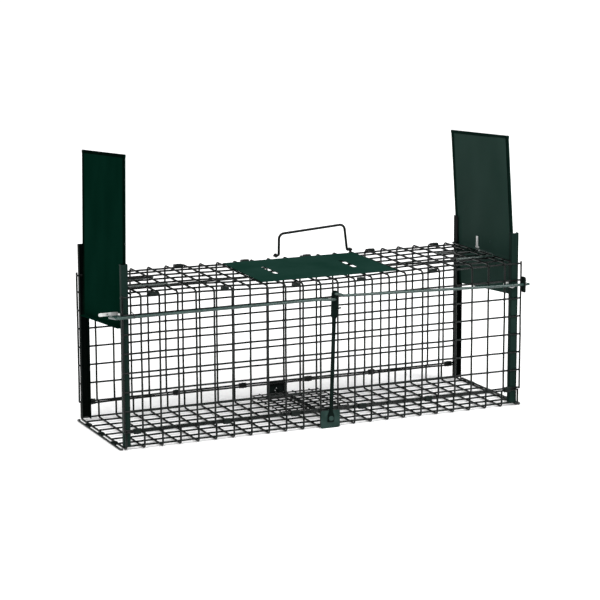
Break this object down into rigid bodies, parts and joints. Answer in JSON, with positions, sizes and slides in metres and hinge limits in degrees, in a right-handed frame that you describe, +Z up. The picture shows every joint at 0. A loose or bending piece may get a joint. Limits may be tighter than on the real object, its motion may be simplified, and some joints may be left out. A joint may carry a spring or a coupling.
{
  "type": "live catch trap",
  "caption": "Long welded-mesh live catch trap with a raised drop door at each end, a treadle, a trigger lever with rods and a folding carry handle.",
  "frame": {"origin": "on the ground under the middle of the cage", "axes": "+X along the cage from its left door to its right one, +Y towards its back, +Z up"},
  "size_m": [0.6047, 0.1961, 0.3818],
  "materials": {
    "green_paint": "semi-gloss dark green paint",
    "floor_green": "satin grey-green paint",
    "zinc": "zinc plate"
  },
  "bodies": {
    "cage": {"back_seam_clip_1": "green_paint", "back_seam_clip_2": "green_paint", "back_seam_clip_3": "green_paint", "back_seam_clip_4": "green_paint", "back_seam_clip_5": "green_paint", "back_seam_clip_6": "green_paint", "back_top_clip_1": "green_paint", "back_top_clip_2": "green_paint", "back_top_clip_3": "green_paint", "back_top_clip_4": "green_paint", "back_top_clip_5": "green_paint", "back_top_clip_6": "green_paint", "floor_back_lip": "green_paint", "floor_front_lip": "green_paint", "floor_mesh": "green_paint", "floor_strip": "floor_green", "front_seam_clip_1": "green_paint", "front_seam_clip_2": "green_paint", "front_seam_clip_3": "green_paint", "front_seam_clip_4": "green_paint", "front_seam_clip_5": "green_paint", "front_seam_clip_6": "green_paint", "front_top_clip_1": "green_paint", "front_top_clip_2": "green_paint", "front_top_clip_3": "green_paint", "front_top_clip_4": "green_paint", "front_top_clip_5": "green_paint", "handle_saddle_left": "green_paint", "handle_saddle_right": "green_paint", "hood_back_mesh": "green_paint", "hood_front_mesh": "green_paint", "hood_top_mesh": "green_paint", "left_back_channel": "green_paint", "left_front_channel": "green_paint", "left_rod_guide": "green_paint", "left_sill": "green_paint", "right_back_channel": "green_paint", "right_front_channel": "green_paint", "right_rod_guide": "green_paint", "right_sill": "green_paint", "top_plate": "green_paint", "treadle_back_bracket": "green_paint", "treadle_front_bracket": "green_paint"},
    "left_eyelet": {"left_door_eyelet": "zinc"},
    "left_door": {"left_door": "green_paint"},
    "right_eyelet": {"right_door_eyelet": "zinc"},
    "right_door": {"right_door": "green_paint"},
    "treadle": {"treadle_axle": "green_paint", "treadle_panel": "green_paint", "trigger_lever": "green_paint"},
    "left_rod": {"left_trigger_rod": "green_paint"},
    "right_rod": {"right_trigger_rod": "green_paint", "right_trigger_finger": "green_paint"},
    "handle": {"handle": "green_paint"},
    "left_latch": {"left_latch": "green_paint"},
    "right_latch": {"right_latch": "green_paint"}
  },
  "joints": [
    {"name": "left_door_slide", "type": "slide", "parent": "cage", "child": "left_eyelet", "axis": [0, 0, 1], "range_m": [-0.154, 0]},
    {"name": "left_door_swing", "type": "hinge", "parent": "left_eyelet", "child": "left_door", "pos_m": [-0.2862, -0.066, 0.1731], "axis": [-0.8536, 0.5166, 0.0674], "range_deg": [-4.45, 0]},
    {"name": "right_door_slide", "type": "slide", "parent": "cage", "child": "right_eyelet", "axis": [0, 0, 1], "range_m": [-0.1505, 0]},
    {"name": "right_door_swing", "type": "hinge", "parent": "right_eyelet", "child": "right_door", "pos_m": [0.2862, -0.066, 0.1696], "axis": [-0.882, -0.4655, 0.0735], "range_deg": [-4.08, 0]},
    {"name": "treadle_tilt", "type": "hinge", "parent": "cage", "child": "treadle", "pos_m": [0.0008, 0, 0.0135], "axis": [0, 1, 0], "range_deg": [-2.9, 0]},
    {"name": "left_rod_slide", "type": "slide", "parent": "cage", "child": "left_rod", "axis": [1, 0, 0], "range_m": [-0.00834, 0]},
    {"name": "right_rod_slide", "type": "slide", "parent": "cage", "child": "right_rod", "axis": [1, 0, 0], "range_m": [-0.0087, 0]},
    {"name": "handle_fold", "type": "hinge", "parent": "cage", "child": "handle", "pos_m": [0.0555, 0.0835, 0.20725], "axis": [1, 0, 0], "range_deg": [-90, 86]},
    {"name": "left_latch_lift", "type": "hinge", "parent": "cage", "child": "left_latch", "pos_m": [-0.214, -0.021, 0.20685], "axis": [0, 1, 0], "range_deg": [0, 170]},
    {"name": "right_latch_lift", "type": "hinge", "parent": "cage", "child": "right_latch", "pos_m": [0.214, -0.021, 0.20685], "axis": [0, -1, 0], "range_deg": [0, 170]}
  ],
  "couplings": [
    {"joint": "left_door_swing", "follows": "left_door_slide", "rad_per_m": 0.50455},
    {"joint": "right_door_swing", "follows": "right_door_slide", "rad_per_m": 0.47335},
    {"joint": "left_rod_slide", "follows": "treadle_tilt", "m_per_rad": 0.1628},
    {"joint": "right_rod_slide", "follows": "treadle_tilt", "m_per_rad": 0.17}
  ]
}
